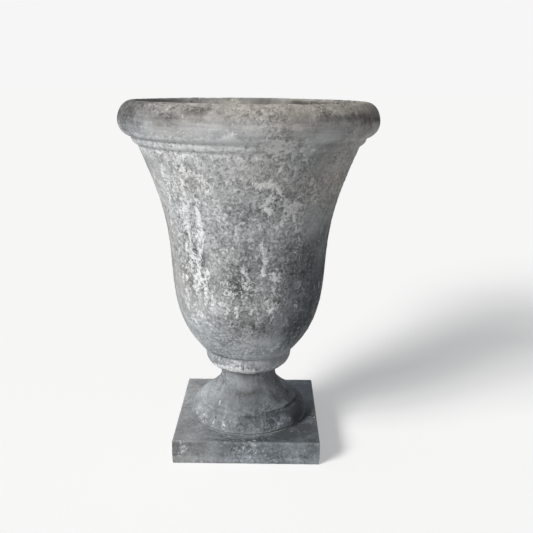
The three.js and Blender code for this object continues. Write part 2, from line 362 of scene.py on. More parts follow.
def zinc_material():
    """Zinc-plated steel: faint spangles, white bloom in blots, and rust and soil on top."""
    material, graph = new_material("dull_zinc")
    spangle = graph.cells(0.0042)[1]
    bloom = graph.blots(0.006, 0.52, 0.68, detail=5, roughness=0.65, shift=8.0)
    rust = graph.blots(0.011, 0.50, 0.66, detail=5, roughness=0.7, shift=14.0)
    soil = graph.blots(0.016, 0.42, 0.62, detail=5, roughness=0.62, shift=21.0)
    colour = graph.mix(spangle, ZINC_DARK, ZINC_PALE)
    colour = graph.mix(graph.times(bloom, 0.5), colour, ZINC_BLOOM)
    colour = graph.mix(graph.times(rust, 0.7), colour, RUST)
    colour = graph.mix(graph.times(soil, 0.75), colour, SOIL)
    roughness = graph.step(bloom, 0.0, 1.0, 0.36, 0.62)
    roughness = graph.add(roughness, graph.times(rust, 0.15), graph.times(soil, 0.2))
    height = graph.add(graph.times(bloom, 0.5), graph.add(rust, soil))
    graph.surface(colour, roughness, height, depth=0.00015, Metallic=0.85)
    return material


def rubber_material():
    """Black rubber with grey dust on it and a fine moulded grain."""
    material, graph = new_material("dusty_rubber")
    dust = graph.blots(0.012, 0.44, 0.70, detail=5, roughness=0.65)
    grain = graph.clouds(0.0011, roughness=0.6, shift=3.0)
    colour = graph.mix(graph.times(dust, 0.55), RUBBER_BLACK, RUBBER_DUST)
    roughness = graph.step(dust, 0.0, 1.0, 0.55, 0.85)
    height = graph.add(grain, graph.times(dust, 0.3))
    graph.surface(colour, roughness, height, depth=0.0001)
    return material


# ---- Outlines and meshes ----


def outline_of(node):
    """A turned node's outline: (radius, height) points in order from its bore's foot outwards."""
    mesh = bmesh.new()
    mesh.from_mesh(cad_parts[node].data)
    bmesh.ops.remove_doubles(mesh, verts=mesh.verts, dist=WELD)
    in_plane = {v for v in mesh.verts if abs(v.co.y) < WELD and v.co.x > 0}

    def beside(vertex):
        others = (edge.other_vert(vertex) for edge in vertex.link_edges)
        return [other for other in others if other in in_plane]

    start = min(in_plane, key=lambda v: (round(v.co.z, 6), v.co.x))
    walk = [start, max(beside(start), key=lambda v: v.co.x)]
    while walk[-1] is not start:
        walk.append(next(v for v in beside(walk[-1]) if v is not walk[-2]))
    points = np.array([(v.co.x, v.co.z) for v in walk[:-1]])
    mesh.free()
    return points


CORNER_DEG = 32
OUTLINE_STEP = 0.5 * MM
# How many steps to each side the rounding of corners reaches.
BLUR_REACH = 12


def curved(points, rounding):
    """A dense closed outline: curved through gentle turns, with its corners rounded."""
    spans = np.roll(points, -1, axis=0) - points
    lengths = np.linalg.norm(spans, axis=1)
    ways = spans / lengths[:, None]
    before = np.roll(ways, 1, axis=0)
    turn = np.degrees(np.arccos(np.clip((ways * before).sum(1), -1, 1)))
    last = np.roll(lengths, 1)
    smooth = (before * lengths[:, None] + ways * last[:, None]) / (lengths + last)[:, None]
    sharp = (turn > CORNER_DEG)[:, None]
    leaving = np.where(sharp, ways, smooth)
    arriving = np.roll(np.where(sharp, before, smooth), -1, axis=0)
    dense = []
    for point, span, length, out, into in zip(points, spans, lengths, leaving, arriving):
        t = np.linspace(0, 1, max(2, round(length / OUTLINE_STEP)), endpoint=False)[:, None]
        end = (3 - 2 * t) * t * t
        bend = t * (1 - t) * ((1 - t) * out - t * into) * length
        dense.append(point + end * span + bend)
    dense = evenly(np.concatenate(dense), OUTLINE_STEP)
    reach = np.arange(-BLUR_REACH, BLUR_REACH + 1)
    weights = np.exp(-0.5 * (reach * OUTLINE_STEP / rounding) ** 2)
    weights /= weights.sum()
    return sum(w * np.roll(dense, r, axis=0) for w, r in zip(weights, reach))


def evenly(loop, spacing):
    """The closed loop sampled again at a spacing, which may be one number or one for each point."""
    closed = np.vstack([loop, loop[:1]])
    lengths = np.linalg.norm(np.diff(closed, axis=0), axis=1)
    along = np.concatenate([[0], np.cumsum(lengths / spacing)])
    wanted = np.linspace(0, along[-1], max(3, round(along[-1])), endpoint=False)
    return np.stack([np.interp(wanted, along, closed[:, k]) for k in range(2)], 1)


def outward(loop):
    """Unit normals in the plane of a closed outline, pointing out of the material."""
    along = np.roll(loop, -1, axis=0) - np.roll(loop, 1, axis=0)
    along /= np.linalg.norm(along, axis=1)[:, None]
    return np.stack([along[:, 1], -along[:, 0]], 1)


def grid_object(name, points, material, body="urn"):
    """A closed surface through a grid of points, rings by sides, which joins up both ways."""
    rings, sides = points.shape[:2]
    ring, side = np.meshgrid(np.arange(rings), np.arange(sides), indexing="ij")
    next_ring, next_side = (ring + 1) % rings, (side + 1) % sides
    corners = [(ring, side), (ring, next_side), (next_ring, next_side), (next_ring, side)]
    faces = np.stack([r * sides + s for r, s in corners], -1).reshape(-1, 4)
    mesh = bpy.data.meshes.new(name)
    mesh.from_pydata(points.reshape(-1, 3), [], faces)
    mesh.shade_smooth()
    mesh.materials.append(material)
    piece = placed(name, mesh)
    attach(piece, body)
    return piece


def around(sides):
    """Angles of a ring's vertices, from the +X axis."""
    return np.linspace(0, 2 * math.pi, sides, endpoint=False)


def turned_grid(loop, sides):
    """Points and normals of an outline turned round the axis."""
    angle = around(sides)
    spin = np.stack([np.cos(angle), np.sin(angle)], 1)

    def spun(pairs):
        level = np.repeat(pairs[:, None, 1:], sides, axis=1)
        return np.concatenate([pairs[:, None, :1] * spin, level], axis=2)

    return spun(loop), spun(outward(loop))


def smoothstep(value, low, high):
    t = np.clip((value - low) / (high - low), 0, 1)
    return t * t * (3 - 2 * t)


# How far apart in the noise two seeds' patterns are read, in feature sizes.
SEED_SHIFT = 37.0


def clouds(points, size, octaves, seed, stretch=1.0):
    """Smooth noise from about -1 to 1 at each point; stretch draws it out upwards."""
    places = points.reshape(-1, 3) / np.array([size, size, size * stretch]) + SEED_SHIFT * seed
    values = [noise.fractal(Vector(place), 1.0, 2.0, octaves) for place in places]
    return np.array(values).reshape(points.shape[:-1])


# The higher this is, the more of the hollows are near the smallest.
SMALL_HOLLOWS_BIAS = 2.2


def hollows(points, chance, count, radii, depth_share, seed):
    """Depths of rounded pits scattered over the points, more of them where chance is high."""
    smallest, largest = radii
    flat = points.reshape(-1, 3)
    tree = kdtree.KDTree(len(flat))
    for index, place in enumerate(flat):
        tree.insert(place, index)
    tree.balance()
    draw = np.random.default_rng(seed)
    odds = chance.reshape(-1) / chance.sum()
    middles = draw.choice(len(flat), count, p=odds)
    reaches = smallest * (largest / smallest) ** (draw.random(count) ** SMALL_HOLLOWS_BIAS)
    depth = np.zeros(len(flat))
    for middle, radius in zip(middles, reaches):
        for _, index, distance in tree.find_range(flat[middle], radius):
            fall = 1 - (distance / radius) ** 2
            depth[index] = max(depth[index], depth_share * radius * fall)
    return depth.reshape(points.shape[:-1])


def store(piece, **values):
    """Keeps each grid of numbers as an attribute of the mesh's points."""
    for name, grid in values.items():
        attribute = piece.data.attributes.new(name, "FLOAT", "POINT")
        attribute.data.foreach_set("value", np.clip(grid, 0, 1).astype(np.float32).ravel())


def azimuth_of(points):
    return np.degrees(np.arctan2(points[..., 0], -points[..., 1]))


def radius_of(points):
    return np.hypot(points[..., 0], points[..., 1])


STROKE_RAGGEDNESS = 0.8
STROKE_RAG_SIZE = 0.012


def stroke_mask(points, strokes, seed):
    """How much each point lies on one of the ragged strokes drawn over the surface."""
    azimuth, level = azimuth_of(points), points[..., 2] / MM
    radius = radius_of(points) / MM
    ragged = 1 + STROKE_RAGGEDNESS * clouds(points, STROKE_RAG_SIZE, 3, seed, stretch=1.6)
    mask = np.zeros(azimuth.shape)
    for strength, half_width, path in strokes:
        ends = zip(path, path[1:] if len(path) > 1 else path)
        for (first_turn, first_level), (second_turn, second_level) in ends:
            across = np.radians((azimuth - first_turn + 180) % 360 - 180) * radius
            run = np.radians(second_turn - first_turn) * radius
            rise = second_level - first_level
            up = level - first_level
            share = np.clip((across * run + up * rise) / (run**2 + rise**2 + 1e-6), 0, 1)
            away = np.hypot(across - share * run, up - share * rise) * ragged
            mask = np.maximum(mask, strength * np.exp(-((away / half_width) ** 2)))
    return mask


# ---- The castings ----

# What a face shows, in tables. Heights and widths are in mm here.
# A patch is an amount, its azimuth and height, and its reach round and up.
# A stroke is a strength, its half width, and its path as (azimuth, height).
# tones say how pale the stone is at each height, partly as painted light and shade, and the stain
# strokes darken it: stains, and on the stem painted shade.
# The crust is rough above 0 and a smooth skin below, and brush is where level streaks were left.
BOWL_MARKS = {
    # The palest tones, at 526 to 548 under the rim's roll, are partly painted light: the floor's
    # bounce on the roll's underside.
    "tones": [
        (137, 0.5), (158, 0.55), (180, 0.78), (213, 0.52), (258, 0.38), (330, 0.38), (420, 0.48),
        (490, 0.64), (526, 0.9), (548, 1.0), (573, 0.6), (598, 0.56),
    ],
    # Many patches are painted light and shade: darker ones on the right, away from the lamps, and
    # paler ones in the crease under the roll and on the knop's shaded right.
    "tone_patches": [
        (-0.5, -60, 580, 115, 26), (-0.5, 128, 590, 230, 24), (0.34, 62, 590, 110, 12),
        (-0.26, -14, 588, 34, 6), (0.45, -22, 597, 18, 3), (-0.22, 52, 553, 40, 9),
        (-0.18, 20, 556, 14, 6), (0.24, 3, 457, 14, 14), (0.2, -18, 417, 22, 22),
        (0.26, 18, 416, 28, 22), (0.2, 12, 291, 12, 10), (0.2, 27, 256, 18, 12),
        (-0.34, -37, 362, 20, 20), (0.35, 11, 597, 18, 3), (0.18, -4, 588, 16, 6),
        (0.15, -27, 587, 20, 6), (-0.18, -35, 451, 18, 16), (0.26, 9, 324, 22, 16),
        (0.18, -7, 290, 28, 14), (-0.16, 19, 289, 14, 12), (0.2, -55, 239, 16, 14),
        (-0.16, 50, 244, 26, 14), (0.34, 14, 213, 30, 8), (-0.14, -55, 535, 70, 22),
        (-0.4, 42, 534, 70, 22), (0.18, 60, 440, 60, 60), (0.32, -46, 415, 70, 50),
        (0.42, -46, 262, 55, 42), (0.18, -18, 286, 25, 20), (-0.34, -6, 319, 25, 28),
        (-0.46, -38, 314, 24, 24), (0.2, 40, 150, 40, 10), (-0.14, 62, 350, 60, 40),
        (-0.34, 58, 256, 60, 48), (-0.36, 50, 208, 36, 32), (0.24, 18, 208, 60, 20),
        (0.2, 32, 172, 50, 14), (-0.22, -45, 172, 60, 10), (0.18, -24, 382, 30, 28),
        (0.15, -27, 509, 42, 18), (-0.16, -52, 292, 20, 13), (-0.15, -29, 234, 18, 16),
        (-0.3, 19, 542, 20, 7), (-0.15, 38, 541, 24, 7), (0.24, -6, 543, 12, 5),
        (-0.14, 10, 573, 16, 9), (0.15, 48, 483, 16, 18), (-0.18, -59, 555, 34, 9),
        (0.24, -63, 591, 22, 10),
    ],
    "stains_and_shade": [
        (0.3, 24, [(-84, 582), (-54, 580)]), (0.4, 6, [(30, 580), (52, 578), (75, 572)]),
        (0.3, 4, [(8, 552), (24, 548)]),
    ],
    "warmth": 0.38,
    "warm_patches": [
        (0.55, 45, 592, 330, 24), (0.25, 180, 590, 500, 60), (0.35, 62, 480, 70, 60),
        (0.12, 48, 505, 90, 45), (0.05, 0, 490, 150, 40), (-0.38, 60, 265, 90, 70),
        (-0.1, 0, 200, 400, 40), (-0.12, -60, 560, 90, 30),
    ],
    "lime_and_painted_light": [
        # The short stroke at 541, in the crease under the roll, is partly lime and partly painted
        # light.
        (0.4, 18, [(-64, 525), (-25, 532), (8, 535), (28, 531)]), (0.6, 3, [(-8, 541), (2, 541)]),
        (0.36, 12, [(-36, 507), (-36, 468), (-41, 426), (-42, 393), (-41, 360), (-37, 328)]),
        (0.4, 11, [(-38, 356), (-35, 334), (-31, 316), (-28, 300), (-24, 284)]),
        (0.55, 6, [(-28, 334), (-30, 300), (-29, 284)]),
        (0.5, 6, [(-30, 440), (-30, 414), (-31, 381), (-33, 352)]),
        (0.4, 8, [(-40, 400), (-40, 378)]),
        (0.7, 6, [(6, 481), (11, 484), (16, 474), (14, 459), (10, 448), (14, 436)]),
        (0.55, 7, [(16, 472), (23, 457), (27, 437), (23, 425), (18, 411)]),
        (0.45, 3, [(25, 449), (32, 415), (36, 389), (34, 368)]),
        (0.55, 4, [(10, 386), (12, 366), (12, 337)]), (0.7, 6, [(18, 336), (21, 329)]),
        (0.75, 4, [(-7, 279), (-6.6, 266)]), (0.42, 9, [(14, 290), (17, 278)]),
        (0.4, 11, [(-46, 244), (-38, 257), (-34, 252)]), (0.4, 8, [(3, 197), (14, 200), (29, 200)]),
        (0.4, 5, [(-47, 512), (-50, 464), (-55, 421)]),
        (0.4, 8, [(-32, 498), (-26, 490), (-22, 484)]),
        (0.45, 3, [(-50, 531), (-24, 534), (-10, 532)]), (0.4, 3, [(4, 537), (14, 537)]),
        (1.3, 5, [(-48, 144), (-34, 148), (-16, 147), (0, 144), (8, 142)]),
        (0.55, 4, [(4, 144), (22, 147), (40, 148)]),
    ],
    "lime_and_painted_light_patches": [
        # The band at 546 under the roll is partly lime and partly painted light over the crease's
        # shade.
        (-0.14, 0, 588, 2000, 18), (-0.5, -80, 578, 50, 20), (0.5, -25, 546, 170, 6),
        (0.26, -14, 527, 75, 9), (-0.3, -66, 566, 60, 16), (0.16, -38, 410, 75, 110),
        (0.1, 4, 450, 70, 60), (0.1, 8, 340, 45, 60), (-0.08, 0, 215, 2000, 30),
        (-0.08, 60, 330, 70, 90),
    ],
    "crust": [
        (0.6, -8, 390, 95, 130), (0.4, 20, 300, 60, 80), (0.15, 0, 592, 2000, 14),
        (-0.4, 34, 322, 22, 30), (-0.35, -50, 292, 26, 26), (-0.12, -8, 235, 60, 22),
        (-0.1, 52, 400, 55, 150), (-0.08, 25, 205, 130, 30), (-0.4, -70, 260, 60, 60),
        (0.45, 50, 524, 60, 26), (0.2, 60, 470, 60, 60), (-0.66, 0, 558, 2000, 24),
        (0.6, 52, 556, 80, 14), (0.3, 0, 440, 2000, 100),
    ],
    "brush": [(0.75, 0, 562, 2000, 20), (0.3, 0, 170, 2000, 22)],
}
# The bowl's inside: a lime line where soil once reached, damp soil's stain below it, and runs, and
# painted light and shade on the wall just below the mouth.
INSIDE_MARKS = {
    "tones": [
        (195, 0.12), (204, 0.16), (262, 0.2), (350, 0.26), (442, 0.3), (464, 0.46), (530, 0.54),
        (598, 0.56),
    ],
    # The patches at 592 are painted light and shade: paler on the shaded inner wall at the left back,
    # darker on the lit wall at the right back.
    "tone_patches": [
        (-0.18, 150, 500, 80, 40), (0.16, -160, 420, 70, 60), (0.14, 90, 350, 50, 60),
        (-0.12, 20, 400, 60, 60), (0.16, -70, 300, 60, 50), (-0.45, 130, 592, 190, 16),
        (-0.25, 146, 592, 50, 12), (0.55, -142, 592, 120, 16), (-0.1, 180, 592, 140, 16),
    ],
    "stains_and_shade": [
        (0.34, 7, [(176, 570), (178, 520), (175, 470)]),
        (0.34, 8, [(118, 568), (120, 514), (117, 470)]), (0.3, 6, [(-132, 566), (-130, 512)]),
        (0.3, 9, [(-84, 566), (-86, 505), (-85, 470)]), (0.3, 6, [(40, 566), (42, 515)]),
    ],
    "warmth": 0.45,
    "warm_patches": [
        (0.3, 0, 300, 3000, 150), (-0.15, 110, 500, 90, 60), (0.25, 180, 590, 500, 40),
        (0.3, 110, 592, 300, 24),
    ],
    "lime_and_painted_light": [
        (0.62, 4, [(-180, 462), (-120, 455), (-60, 464), (0, 457), (60, 466), (120, 458), (180, 462)]),
        (0.4, 9, [(-180, 470), (-90, 474), (0, 468), (90, 475), (180, 470)]),
        (0.5, 5, [(158, 460), (160, 405), (157, 352), (159, 318)]),
        (0.42, 4, [(-166, 457), (-164, 402), (-167, 371)]),
        (0.5, 6, [(98, 462), (101, 398), (99, 340), (102, 291)]),
        (0.4, 4, [(64, 464), (66, 428), (65, 396)]),
        (0.45, 5, [(-118, 456), (-116, 392), (-119, 330)]), (0.4, 4, [(-62, 462), (-60, 418)]),
        (0.45, 4, [(12, 458), (10, 402), (13, 351)]), (0.4, 5, [(131, 540), (133, 505), (132, 470)]),
        (0.4, 5, [(-146, 536), (-144, 490)]),
    ],
    "lime_and_painted_light_patches": [(-0.14, 0, 592, 3000, 16), (-0.15, 146, 592, 60, 14)],
    "crust": [(0.2, 0, 300, 3000, 120), (-0.35, 140, 520, 90, 40)],
    "brush": [],
}
STEM_MARKS = {
    "tones": [
        (43, 0.14), (60, 0.14), (74, 0.22), (82, 0.24), (100, 0.24), (120, 0.33), (134, 0.36),
    ],
    # Several patches are painted light and shade on the shaded right, paler low on the cushion and
    # darker above it; the thin band at 45 is painted light over the contact shade at the foot.
    "tone_patches": [
        (0.32, -70, 58, 50, 26), (-0.1, -20, 57, 40, 12), (0.4, 38, 53, 34, 9),
        (0.08, -60, 92, 40, 20), (-0.12, 48, 64, 50, 20), (0.16, 78, 88, 50, 20),
        (-0.12, 75, 122, 30, 20), (0.34, 25, 45, 60, 4), (0.28, -100, 76, 36, 14),
        (-0.12, -17, 94, 16, 9), (0.14, -36, 50, 18, 8), (0.18, 75, 84, 40, 16),
    ],
    # These dark strokes are painted shade: under the ledge at 66 to 70, and on the right of the cove
    # and cushion.
    "stains_and_shade": [
        (0.3, 3, [(0, 70), (30, 70), (60, 70)]), (0.22, 7, [(45, 84), (62, 82), (75, 84)]),
        (0.14, 9, [(62, 56), (74, 58), (95, 58)]), (0.14, 5, [(2, 66), (36, 66)]),
    ],
    "warmth": 0.2,
    "warm_patches": [(-0.22, 50, 60, 70, 30)],
    "lime_and_painted_light": [
        (0.34, 2, [(-42, 85), (-37, 79)]), (0.34, 8, [(-66, 56), (-43, 52), (-24, 54)]),
        (0.3, 5, [(24, 50), (34, 54), (42, 60)]), (0.4, 3, [(-60, 134), (-20, 133), (10, 134)]),
    ],
    "lime_and_painted_light_patches": [],
    "crust": [(-0.14, 0, 115, 900, 40), (0.1, -40, 70, 60, 40), (-0.2, 60, 80, 60, 50)],
    "brush": [],
}
STAIN_AND_SHADE_SEED = 61
LIME_SEED = 67


def patches(points, places):
    """The sum at each point of soft patches."""
    azimuth, level = azimuth_of(points), points[..., 2] / MM
    radius = radius_of(points) / MM
    total = np.zeros(azimuth.shape)
    for amount, turn, height, wide, tall in places:
        across = np.radians((azimuth - turn + 180) % 360 - 180) * radius / wide
        total += amount * np.exp(-(across**2) - ((level - height) / tall) ** 2)
    return total


def marked(points, marks):
    """What a face's tables say of each point: its tone, warmth, lime, crust and brushing."""
    heights, values = zip(*marks["tones"])
    tone = np.interp(points[..., 2] / MM, heights, values) + patches(points, marks["tone_patches"])
    lime_and_painted_light = patches(points, marks["lime_and_painted_light_patches"])
    return {
        "tone": tone - stroke_mask(points, marks["stains_and_shade"], STAIN_AND_SHADE_SEED),
        "warmth": marks["warmth"] + patches(points, marks["warm_patches"]),
        "lime_and_painted_light": lime_and_painted_light + stroke_mask(points, marks["lime_and_painted_light"], LIME_SEED),
        "crust": patches(points, marks["crust"]),
        "brush": patches(points, marks["brush"]),
    }


# What weather's patterns wear away or build up at most, and the hollows that it leaves, in metres.
WAVE_DEPTH = 0.0006
LUMP_DEPTH = 0.0004
CRUST_DEPTH = 0.0009
LIME_BUILD = 0.0002
PIT_RADII = (0.0009, 0.0026)
PIT_DEPTH_SHARE = 0.32
CHIP_RADII = (0.002, 0.006)
CHIP_DEPTH_SHARE = 0.15
# A hollow starts to count as a cavity at the first depth, and does fully at the second.
PIT_SHOWS = (0.0002, 0.0008)
CHIP_SHOWS = (0.0003, 0.0012)


def weathered(points, normals, exposure, looks):
    """Moves a casting's points inwards as weather does, and returns its surface attributes too.

    exposure, from 0 to 1 for each point, keeps seats and bores as they are.
    """
    seed = looks["seed"]
    crust = 0.48 + 0.75 * clouds(points, 0.09, 3, seed) + looks["crust"]
    crust = smoothstep(crust, 0.1, 1.0)
    fine = clouds(points, 0.0055, 3, seed + 1)
    lumps = clouds(points, 0.018, 3, seed + 2)
    wave = clouds(points, 0.12, 2, seed + 3)
    curtains = smoothstep(clouds(points, 0.035, 3, seed + 4, stretch=2.6), 0.12, 0.62)
    lime_and_painted_light = looks["lime_level"] + looks["lime_and_painted_light"] + 0.30 * curtains
    chance = exposure * (0.1 + crust)
    pits = hollows(points, chance, looks["pits"], PIT_RADII, PIT_DEPTH_SHARE, seed)
    chance = exposure * looks["edge"] + 1e-9
    chips = hollows(points, chance, looks["chips"], CHIP_RADII, CHIP_DEPTH_SHARE, seed + 9)
    depth = WAVE_DEPTH * (0.5 + 0.5 * wave) + LUMP_DEPTH * (0.4 - 0.5 * lumps)
    depth += CRUST_DEPTH * (0.4 - 0.6 * fine) * (0.2 + crust) - LIME_BUILD * np.minimum(lime_and_painted_light, 1)
    depth = np.maximum(depth, 0) + np.maximum(pits, chips) + looks["groove"]
    values = {
        "tone": looks["tone"] + 0.28 * clouds(points, 0.07, 3, seed + 5),
        "warmth": looks["warmth"] + 0.13 * clouds(points, 0.09, 2, seed + 6),
        "lime_and_painted_light": lime_and_painted_light,
        "crust": crust,
        "brush": looks["brush"],
        "cavity": smoothstep(pits, *PIT_SHOWS) + 0.4 * smoothstep(chips, *CHIP_SHOWS),
        "edge": looks["edge"],
    }
    return points - normals * (depth * exposure)[..., None], values


EDGE_REACH = 2
EDGE_TURNS = (0.25, 0.9)


def sharpness(loop):
    """How convex an outline is at each point, 0 where flat or hollow and 1 at an edge."""
    normals = outward(loop)
    ahead, behind = np.roll(normals, -EDGE_REACH, axis=0), np.roll(normals, EDGE_REACH, axis=0)
    cross = behind[:, 0] * ahead[:, 1] - behind[:, 1] * ahead[:, 0]
    return smoothstep(cross, *EDGE_TURNS)


def ringed(values, sides):
    """One value for each ring, repeated for every one of its sides."""
    return np.repeat(values[:, None], sides, axis=1)


STONE_ROUNDING = 1.1 * MM
BOWL_SIDES = 512
STEM_SIDES = 400
BOWL_SPACING = 1.9 * MM
INSIDE_SPACING = 4.0 * MM
STEM_SPACING = 1.3 * MM
# How far down its inside the bowl keeps the spacing of its outside.
MOUTH_REACH = 50 * MM
# Seats, bores and the floor under the seal keep their form, and weather fully a little further on.
SEAL_REACH = 36 * MM
SEAL_RAMP = 8 * MM
FLOOR_MARGIN = 10 * MM
BORE_REACH = 16 * MM
BORE_RAMP = 4 * MM
SEAT_CLEAR = 0.8 * MM
BOWL_SEAT_REACH = 4 * MM
STEM_SEAT_REACH = 2.5 * MM
STEM_HEAD_SPAN = (0.2 * MM, 3 * MM)
STEM_BORE_SPAN = (0.030, 0.044)
STEM_HIDDEN_RADIUS = 45 * MM
STEM_WEAR = 0.8
STEM_ROUNDING_SHARE = 0.8
# How far below the mouth the inside's own look starts, and where it is full.
INSIDE_FROM = 1 * MM
INSIDE_FULLY = 7 * MM
# Wear has hollowed the stem's cushion just below its ledge.
STEM_GROOVE_LEVEL = 72.3 * MM
STEM_GROOVE_HALF = 1.8 * MM
STEM_GROOVE_DEPTH = 1.6 * MM


def make_bowl(material):
    loop = curved(outline_of("bowl"), STONE_ROUNDING)
    low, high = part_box("bowl")
    crown = int(loop[:, 1].argmax())
    mouth = round(MOUTH_REACH / OUTLINE_STEP)
    spacing = np.full(len(loop), INSIDE_SPACING)
    spacing[: crown + mouth] = BOWL_SPACING
    loop = evenly(loop, spacing)
    crown = int(loop[:, 1].argmax())
    exposure = smoothstep(loop[:, 0], BORE_REACH, BORE_REACH + BORE_RAMP)
    exposure *= smoothstep(loop[:, 1], low.z + SEAT_CLEAR, low.z + BOWL_SEAT_REACH)
    inside = np.arange(len(loop)) > crown
    floor = inside & (loop[:, 0] < SEAL_REACH + FLOOR_MARGIN)
    exposure[floor] *= smoothstep(loop[floor, 0], SEAL_REACH, SEAL_REACH + SEAL_RAMP)
    points, normals = turned_grid(loop, BOWL_SIDES)
    edge = ringed(sharpness(loop), BOWL_SIDES)
    exposure = ringed(exposure, BOWL_SIDES)
    outer, inner = marked(points, BOWL_MARKS), marked(points, INSIDE_MARKS)
    below_mouth = high.z - points[..., 2]
    share = inside[:, None] * smoothstep(below_mouth, INSIDE_FROM, INSIDE_FULLY)
    looks = {key: outer[key] + (inner[key] - outer[key]) * share for key in outer}
    looks.update(seed=5, lime_level=0.15, groove=0.0, edge=edge, pits=7000, chips=160)
    points, values = weathered(points, normals, exposure, looks)
    bowl = grid_object("bowl_casting", points, material)
    store(bowl, **values)
    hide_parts("bowl")


def make_stem(material):
    loop = curved(outline_of("stem"), STEM_ROUNDING_SHARE * STONE_ROUNDING)
    low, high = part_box("stem")
    hidden = (loop[:, 0] < STEM_HIDDEN_RADIUS) | (loop[:, 1] < low.z + SEAT_CLEAR)
    spacing = np.where(hidden, INSIDE_SPACING, STEM_SPACING)
    loop = evenly(loop, spacing)
    exposure = smoothstep(loop[:, 0], *STEM_BORE_SPAN)
    exposure *= smoothstep(loop[:, 1], low.z + SEAT_CLEAR, low.z + STEM_SEAT_REACH)
    exposure *= smoothstep(high.z - loop[:, 1], *STEM_HEAD_SPAN)
    points, normals = turned_grid(loop, STEM_SIDES)
    edge = ringed(sharpness(loop), STEM_SIDES)
    exposure = ringed(exposure, STEM_SIDES) * STEM_WEAR
    away = (points[..., 2] - STEM_GROOVE_LEVEL) / STEM_GROOVE_HALF
    groove = STEM_GROOVE_DEPTH * np.exp(-(away**2))
    looks = marked(points, STEM_MARKS)
    looks.update(seed=21, lime_level=0.02, groove=groove, edge=edge, pits=900, chips=50)
    points, values = weathered(points, normals, exposure, looks)
    stem = grid_object("stem_casting", points, material)
    store(stem, **values)
    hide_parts("stem")


# The plinth's section, from the pocket's edge out and round to the bore and back.
PLINTH_FOOT_INSET = 0.4 * MM
PLINTH_FOOT_HEIGHT = 6.5 * MM
PLINTH_ARRIS = 0.8 * MM
PLINTH_CORNER = 0.8 * MM
PLINTH_ROUNDING = 0.6 * MM
PLINTH_WEAR = 0.45
GROUND_CLEAR = 0.2 * MM
POCKET_RADIUS = 29.5 * MM
POCKET_DEPTH = 22 * MM
POCKET_RAMP = 6 * MM
BORE_RADIUS = 15 * MM
PLINTH_EDGE_SIDES = 156
PLINTH_CORNER_SIDES = 4
PLINTH_SPACING = 1.6 * MM
# The rings are round until this far past the pocket's edge, and square from the second radius on.
ROUND_MARGIN = 4 * MM
ROUND_BY = 70 * MM
RIGHT_SPAN = (-0.09, 0.06)
# Painted light on the top, in a ring round the front and right of the foot, over the shade that the
# foot casts there.
PAINTED_LIGHT_RING_RADIUS = 0.105
PAINTED_LIGHT_RING_HALF = 0.003
PLINTH_SIDE_PATCHES = [(-0.12, 0, 32, 30, 9)]
PLINTH_CRUST = [(-0.22, 0, 30, 2000, 60)]
PLINTH_BRUSH = [(0.15, 0, 30, 2000, 60)]


def squares(halves, corner):
    """Rings of a rounded square for each half width, going round from the +X side's start."""
    edge = np.linspace(-1, 1, PLINTH_EDGE_SIDES, endpoint=False)
    bend = np.linspace(0, math.pi / 2, PLINTH_CORNER_SIDES, endpoint=False)
    inner = (halves - corner)[:, None]
    x = np.hstack([np.repeat(halves[:, None], len(edge), axis=1), inner + corner * np.cos(bend)])
    y = np.hstack([inner * edge, inner + corner * np.sin(bend)])
    quarters = [(x, y), (-y, x), (-x, -y), (y, -x)]
    return np.stack([np.hstack(parts) for parts in zip(*quarters)], 2)


def plinth_tone(points, on_top, edge):
    """How pale the plinth is. Its top has painted shadow at the front right, its sides are paler low
    down.
    """
    x, y, level = np.moveaxis(points, 2, 0)
    left = 1 - smoothstep(x, -0.110, -0.060)
    right = smoothstep(x, *RIGHT_SPAN)
    middle = smoothstep(x, -0.085, -0.055) * (1 - smoothstep(x, 0.01, 0.06))
    back = smoothstep(y, -0.03, 0.06)
    behind = smoothstep(y, -0.085, -0.045)
    brink = smoothstep(-y, 0.108, 0.116)
    # The top's painted shadow at the front right stands for the bowl's shadow, painted light at the
    # back right lifts the stem's cast shadow, and a painted band of shade lies just behind the front
    # arris.
    top = 0.50 - 0.50 * right * (1 - back) + 0.36 * right * back
    top += left * (0.14 * behind + 0.08 * back - 0.08 * (1 - behind)) - 0.24 * middle * brink
    # A ring of painted light round the foot lifts the shade that it casts on the top.
    turn = azimuth_of(points)
    painted_light_ring = np.exp(-(((np.hypot(x, y) - PAINTED_LIGHT_RING_RADIUS) / PAINTED_LIGHT_RING_HALF) ** 2))
    top += 0.28 * painted_light_ring * smoothstep(turn, -15, 10) * (1 - smoothstep(turn, 45, 70))
    # The sides are paler low down.
    low_band = 1 - smoothstep(level, 0.006, 0.021)
    side = 0.20 - 0.02 * right - 0.13 * left + (0.38 - 0.15 * left - 0.18 * right) * low_band
    side += patches(points, PLINTH_SIDE_PATCHES)
    # Edges are dimmed a little: painted shade that tempers the lit arris.
    return np.where(on_top, top, side) - 0.08 * edge


